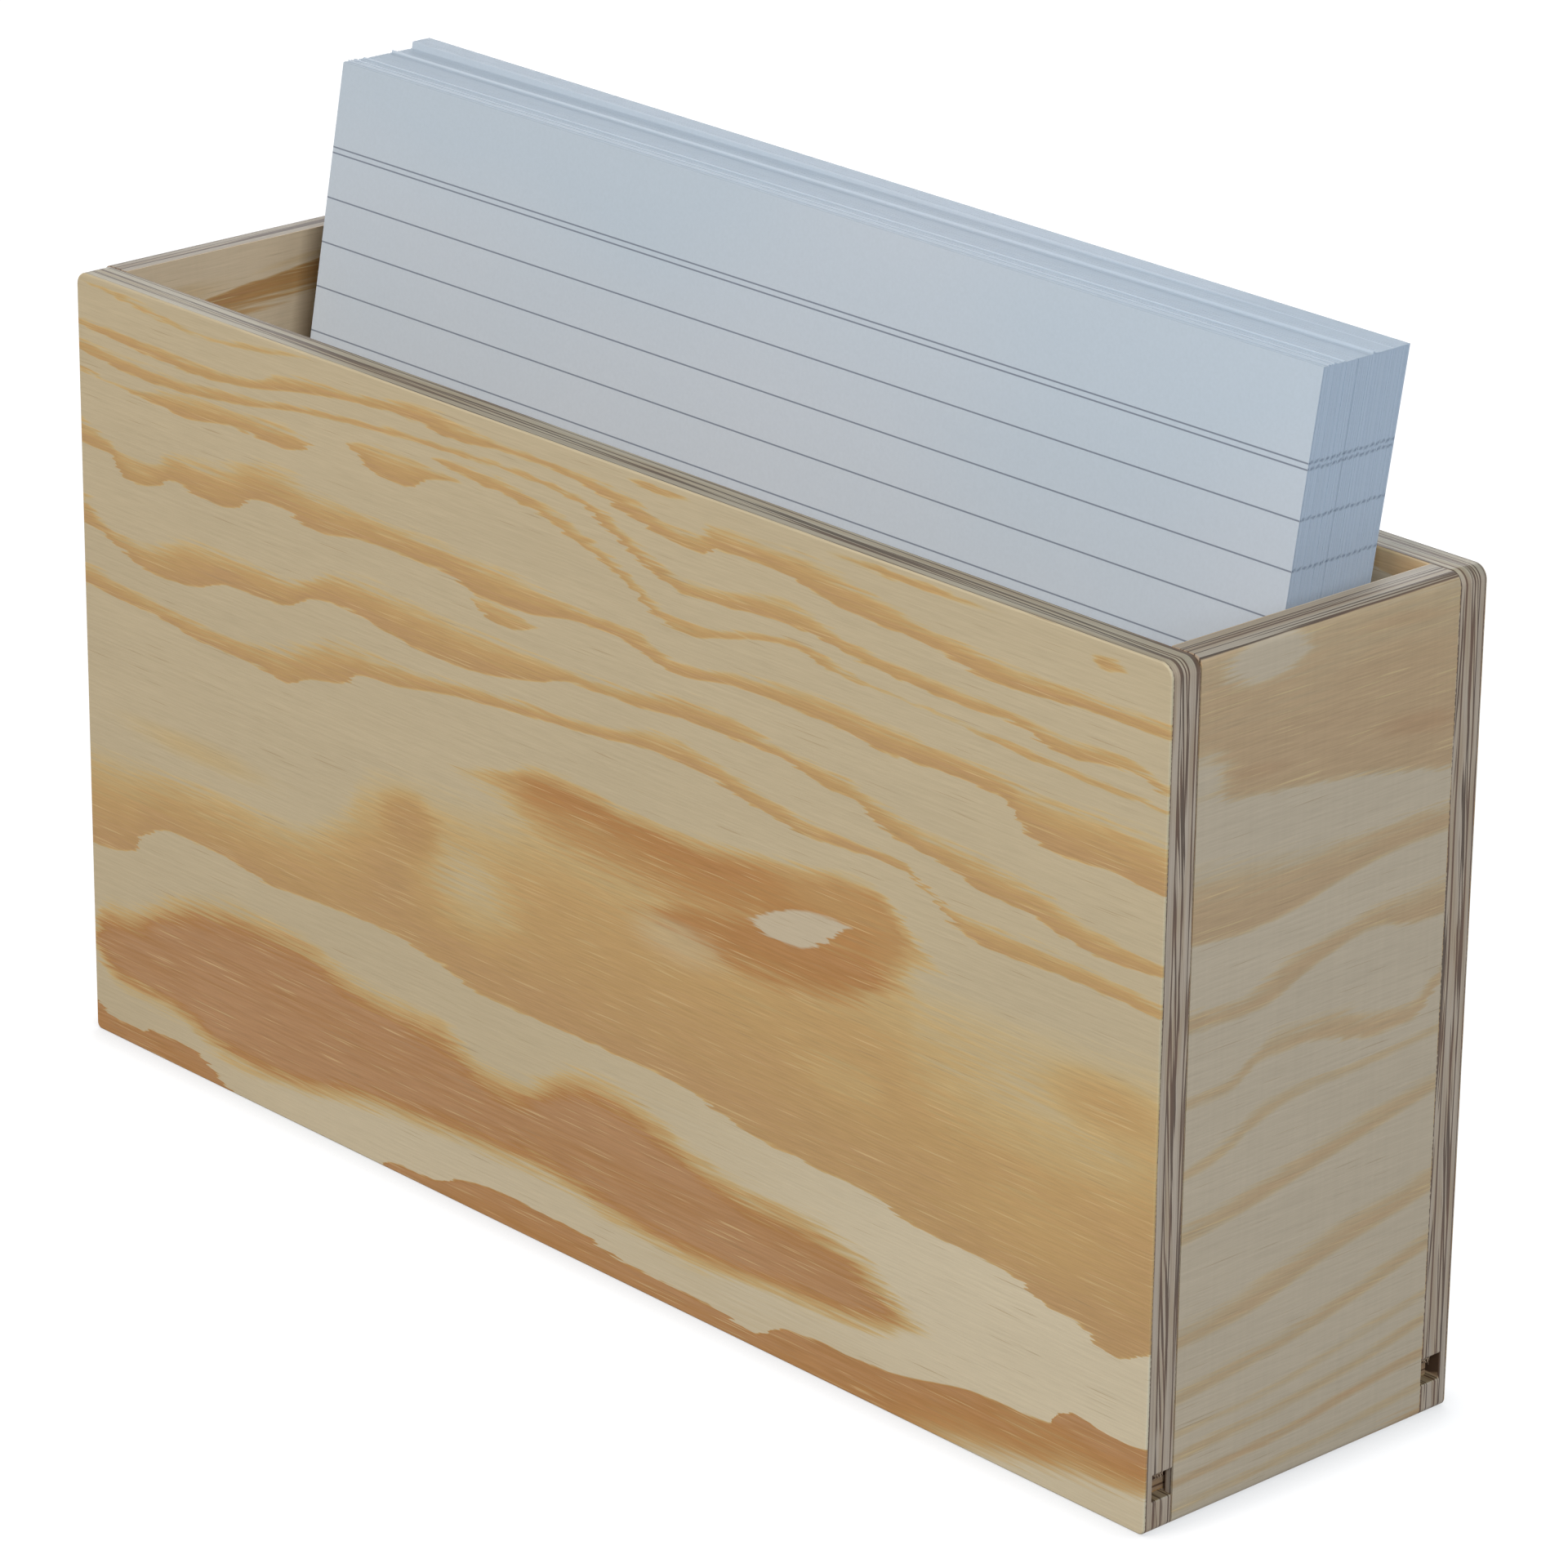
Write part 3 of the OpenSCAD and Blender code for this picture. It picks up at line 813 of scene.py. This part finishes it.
def buildPinePlywood(panel):
    low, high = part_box(panel["node"])
    material, tree = startMaterial("sandedPinePlywood_" + panel["node"])
    coords = addNode(tree, "TexCoord").outputs
    place = addNode(tree, "SeparateXYZ", [coords["Object"]]).outputs
    along, up, depth = [panelAxis(place, low, high, panel[key]) for key in ("grain", "height", "depth")]
    thickness = (high - low)["xyz".index(panel["depth"][0])] * toMm
    atInner = beyond(depth, thickness / 2)
    face, streak = paintFaces(panel, along, up, atInner)
    edge, line = paintPlies(panel, depth, along, up)
    upward = addNode(tree, "SeparateXYZ", [coords["Normal"]]).outputs["Z"]
    # upward edges are multiplied by a grey: partly end grain, partly painted shade
    edge = blend(ramp(upward, *plies["upward"]), edge, panel["endGrainAndShade"], "MULTIPLY")
    # how far inside the nearer face
    innerStart = thickness + plies["face"] - plies["innerFace"]
    deep = lowest(depth, minus(innerStart, depth))
    ragged = scaled(streak, plies["ragged"], deep)
    colour = blend(ramp(ragged, *plies["faceEnds"]), face, edge)
    # the sawn groove is brown: its own colour, with painted shade in the recess
    middle, half, start = plies["groove"]
    level = product(place["Z"], toMm)
    level = calc("COMPARE", level, middle, half)
    sawnAndShaded = product(beyond(depth, start), level)
    colour = blend(sawnAndShaded, colour, plies["sawnAndShaded"], "MULTIPLY")
    cut = beyond(deep, plies["face"])
    finishMaterial(pine, colour, mix(cut, streak, line))
    return material


# edges: the long panels' are sanded to a small radius; the short ones' outer edges are round in the CAD
edges = {
    "join": 0.00001,  # metres between corners that are one
    "plain": 1.0,  # degrees between triangles that are one face
    "radius": 0.0003,  # metres
    "steps": 2,
    "angle": 40.0,  # degrees from which an edge is sanded
}


def dressPanel(panel):
    node = frame["nodes"][panel["node"]]
    dress(panel["node"], buildPinePlywood(panel))
    node.modifiers.new("joinCorners", "WELD").merge_threshold = edges["join"]
    flat = node.modifiers.new("plainFaces", "DECIMATE")
    flat.decimate_type = "DISSOLVE"
    flat.angle_limit = math.radians(edges["plain"])
    if panel.get("eased"):
        eased = node.modifiers.new("easedEdges", "BEVEL")
        eased.width = edges["radius"]
        eased.segments = edges["steps"]
        eased.limit_method = "ANGLE"
        eased.angle_limit = math.radians(edges["angle"])
        eased.harden_normals = True


for panel in panels:
    dressPanel(panel)
print("panels dressed:", len(panels))

# torn pine fibres, left where the groove's cutter ran out through the right end; the eye sees pale hairs
tornFibres = {
    "light": "#bda68c",
    "dark": "#8f7358",
    "tufts": {"tornFibresFront": (-29.2, -27.0), "tornFibresBack": (25.7, 27.6)},  # mm from the middle
    "roof": 8.8,  # mm above the table, the groove's upper face that they hang from
    "rooted": 0.1,  # mm that they reach into it
    "inset": (0.15, 1.05),  # mm from the box's right end
    "length": (0.5, 1.5),  # mm
    "facing": (0.0, 6.3),  # radians, the way a fibre bends first
    "curl": (1.2, 4.6),  # radians that it turns from root to tip
    "sway": (0.28, 0.4),  # mm that its tip moves, along and across the box
    "thick": 0.10,  # mm, half the thickness at the root
    "taper": 0.75,  # share of it lost at the tip
    "scatter": {"inset": 0.382, "length": 0.618, "facing": 0.618, "curl": 0.271},  # step per fibre
    "firstInset": 0.2,  # share of its span at which the first fibre stands
    "count": 13,
    "steps": 6,
    "sides": 5,
    "grain": 0.4,  # mm, size of its mottle
    "grainDetail": 2.0,
    "heights": (0.3, 0.7),
    "roughness": (0.74, 0.86),
    "bump": 0.4,
    "relief": 0.00002,  # metres
    "ior": 1.5,
    "specular": 0.3,
}


def spread(look, key, number, first=0.0):
    # a value for one fibre, scattered over its span
    low, high = look[key]
    return low + (high - low) * ((number * look["scatter"][key] + first) % 1.0)


def hangFibres(name, look, material):
    # a tuft of curled tubes that taper
    nearY, farY = look["tufts"][name]
    sides = look["sides"]
    verts, faces = [], []
    for number in range(look["count"]):
        root = Vector((
            cadHigh.x * toMm - spread(look, "inset", number, look["firstInset"]),
            nearY + (farY - nearY) * (number + 0.5) / look["count"],
            look["roof"] + look["rooted"]))
        length, facing, curl = [spread(look, key, number) for key in ("length", "facing", "curl")]
        for step in range(look["steps"]):
            share = step / (look["steps"] - 1)
            turn = share * curl + facing
            swayX, swayY = look["sway"]
            bend = Vector((swayX * math.cos(turn), swayY * math.sin(turn), -length))
            middle = root + share * bend
            radius = look["thick"] * (1.0 - look["taper"] * share)
            for side in range(sides):
                angle = 2 * math.pi * side / sides
                rim = Vector((radius * math.cos(angle), radius * math.sin(angle), 0.0))
                verts.append((middle + rim) / toMm)
            if step:
                first = len(verts) - 2 * sides
                for side in range(sides):
                    after = (side + 1) % sides
                    faces.append((first + side, first + side + sides, first + after + sides, first + after))
        faces.append(tuple(range(len(verts) - sides, len(verts)))[::-1])
    mesh = bpy.data.meshes.new(name)
    mesh.from_pydata(verts, [], faces)
    mesh.polygons.foreach_set("use_smooth", [True] * len(faces))
    mesh.materials.append(material)
    piece = addObject(name, mesh)
    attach(piece, "box")


def buildTornFibre(look):
    material, tree = startMaterial("tornPineFibre")
    mottle = evenNoise(addNode(tree, "TexCoord").outputs, look["grain"], look["grainDetail"])
    finishMaterial(look, blend(mottle, look["dark"], look["light"]), mottle)
    return material


fibreMaterial = buildTornFibre(tornFibres)
for name in tornFibres["tufts"]:
    hangFibres(name, tornFibres, fibreMaterial)
print("torn fibres hung")

# index card: calendered card stock, ruled in thin grey ink that bleeds to the cut edges. The eye sees a
# cool smooth white on the faces, and on the pack's cut sides fine layers with a row of dashes at each rule
cardStock = {
    "face": "#b0bcc6",
    "bounceWarmedFace": "#bac0c7",
    "bounceWarming": (5.0, 55.0, 0.1, 0.9),  # mm below the top, and the shares there of the warmer white, painted warm bounce light from the wood
    "cloud": (60.0, 40.0),  # mm, size of its slow changes
    # a card's upward cut edge is a darker copy of its face colour: painted shade
    "top": "#9eaab6",
    "upward": (0.5, 0.9),  # slope from which a face is a card's top, and where it is fully so
    "edgeHighlight": "#bfc9d2",  # painted highlight along the cut upper edge of a card that stands above the one in front
    "proud": (0.02, -0.02),  # mm below the front card's top, where that edge starts to show
    "fading": (-60.0, 90.0, 0.9, 0.3),  # mm from the box's middle, and how bright the painted highlight is there
    "rear": 11.0,  # mm behind the front card, where the cards that stand askew are further back
    "askew": math.tan(math.radians(0.3)),
    "slanting": (0.12, 0.32, 1.0, 0.15),  # mm below those cards' top, and how bright their painted highlight is there
    "brightCuts": (3.4, 4.0, 13.9),  # mm behind the front card, single cards that catch the light
    "cut": 0.11,  # mm, half the thickness that shows
    "side": "#aeb7c0",
    "layer": (1.1, 90.0),  # mm, thickness of several cards, so that the layers show, and their length
    "layerDetail": 2.0,
    "layerTint": 0.05,
    "ink": "#636b79",
    "inkShare": 0.85,
    "header": (13.5, 14.4),  # mm below the top, the double rule
    "pitch": 7.15,  # mm between the single rules, counted from the second header rule
    "rule": (0.084, 0.156, 1.0, 0.0),  # mm from a rule's middle, and the shares of ink there
    "dashPitch": 1.1,  # mm between the dashes on a cut side, wider than a card so that they show
    "dashSlip": 0.6,  # mm from the lowest to the highest of them
    "dash": (0.18, 0.36, 1.0, 0.0),  # mm above or below a dash's middle, and the shares of ink there
    "dashSlant": 0.8,
    "dashRun": (0.15, 0.35, 0.65, 0.12),  # share of the pitch from its middle, and the shares of ink there
    "grain": 0.5,  # mm, size of the paper's mottle
    "grainDetail": 2.0,
    "heights": (0.3, 0.7),
    "grainTint": (0.98, 1.02),
    "roughness": (0.58, 0.66),
    "bump": 0.25,
    "relief": 0.00003,  # metres
    "ior": 1.5,
    "specular": 0.35,
    "seeds": {"dash": 4.0, "cloud": 1.0, "layer": 9.0},
}


def inkRules(look, fromTop, layers, atSide):
    # share of ink: thin rules on a card's faces, rows of dashes on the pack's cut sides
    first, second = look["header"]
    turns = minus(fromTop, second)
    turns = quotient(turns, look["pitch"])
    off = minus(turns, calc("ROUND", turns))
    off = product(off, look["pitch"])
    belowTop = beyond(turns, -0.5)
    headOff = minus(fromTop, first)
    # each card's rule ends in a short slanted dash, a little above or below its neighbours'
    slip = grainNoise(layers, 0.0, (look["dashPitch"], 1.0), look["seeds"]["dash"])
    slip = product(slip, look["dashSlip"])
    stroke = scaled(fromTop, look["dashSlant"], layers)
    stroke = quotient(stroke, look["dashPitch"])
    stroke = calc("FRACT", stroke)
    stroke = minus(stroke, 0.5)
    stroke = calc("ABSOLUTE", stroke)
    inkFace = inkSide = 0.0
    for distance, gate in ((off, belowTop), (headOff, 1.0)):
        line = ramp(calc("ABSOLUTE", distance), *look["rule"])
        line = product(line, gate)
        inkFace = highest(inkFace, line)
        slipped = calc("ADD", distance, slip)
        row = ramp(calc("ABSOLUTE", slipped), *look["dash"])
        row = product(row, gate)
        inkSide = highest(inkSide, row)
    inkSide = product(inkSide, ramp(stroke, *look["dashRun"]))
    ink = mix(atSide, inkFace, inkSide)
    return product(ink, look["inkShare"])


def buildCardStock(look):
    material, tree = startMaterial("calenderedCardStock")
    pull = next(joint for joint in frame["joints"] if joint["name"] == "front_card_pull")
    lean = math.atan2(pull["axis"][1], pull["axis"][2])
    cardLow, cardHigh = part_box("front_card")
    coords = addNode(tree, "TexCoord").outputs
    place = addNode(tree, "SeparateXYZ", [coords["Object"]]).outputs
    facing = addNode(tree, "SeparateXYZ", [coords["Normal"]]).outputs
    # every card stands on the same floor, so a rule lies at one height all through the pack
    slant = toMm / math.cos(lean)
    fromTop = scaled(place["Z"], -slant, cardHigh.z * slant)
    layers = product(place["Y"], math.cos(lean) * toMm)
    layers = scaled(place["Z"], -math.sin(lean) * toMm, layers)
    frontLayer = (cardLow.y * math.cos(lean) - cardLow.z * math.sin(lean)) * toMm
    across = product(place["X"], toMm)
    # a cut side faces left or right
    atSide = beyond(calc("ABSOLUTE", facing["X"]), 0.5)
    forward = calc("LESS_THAN", facing["Y"], -0.5)
    cloud = grainNoise(across, fromTop, look["cloud"], look["seeds"]["cloud"])
    # the faces turn warmer towards the foot: painted bounce light, on top of the slow cloud
    broad = calc("ADD", cloud, ramp(fromTop, *look["bounceWarming"]), clamp=True)
    face = blend(broad, look["face"], look["bounceWarmedFace"])
    # the rear cards stand askew, so the painted highlight along their upper edge slants
    atRear = beyond(layers, frontLayer + look["rear"])
    slanting = minus(across, cardHigh.x * toMm)
    slanting = scaled(slanting, -look["askew"], fromTop)
    slanting = ramp(slanting, *look["slanting"])
    highlightFade = mix(atRear, ramp(across, *look["fading"]), slanting)
    proud = product(ramp(fromTop, *look["proud"]), forward)
    proud = product(proud, highlightFade)
    # a proud card's upper edge gets the painted highlight
    face = blend(proud, face, look["edgeHighlight"])
    bright = 0.0
    for behind in look["brightCuts"]:
        cut = calc("COMPARE", layers, frontLayer + behind, look["cut"])
        bright = highest(bright, cut)
    top = blend(bright, look["top"], look["edgeHighlight"])
    # upward faces take the darker top colour, painted shade
    face = blend(ramp(facing["Z"], *look["upward"]), face, top)
    mottle = evenNoise(coords, look["grain"], look["grainDetail"])
    tone = ramp(mottle, *look["heights"], *look["grainTint"])
    face = blend(1.0, face, tone, "MULTIPLY")
    layerTone = grainNoise(layers, fromTop, look["layer"], look["seeds"]["layer"], look["layerDetail"])
    layerTone = scaled(layerTone, look["layerTint"], 1.0)
    side = blend(1.0, look["side"], layerTone, "MULTIPLY")
    colour = blend(atSide, face, side)
    colour = blend(inkRules(look, fromTop, layers, atSide), colour, look["ink"])
    finishMaterial(look, colour, mottle)
    return material


cardMaterial = buildCardStock(cardStock)
cardNodes = [name for name in frame["nodes"] if "card" in name]
for name in cardNodes:
    dress(name, cardMaterial)
print("cards dressed:", len(cardNodes), "nodes")
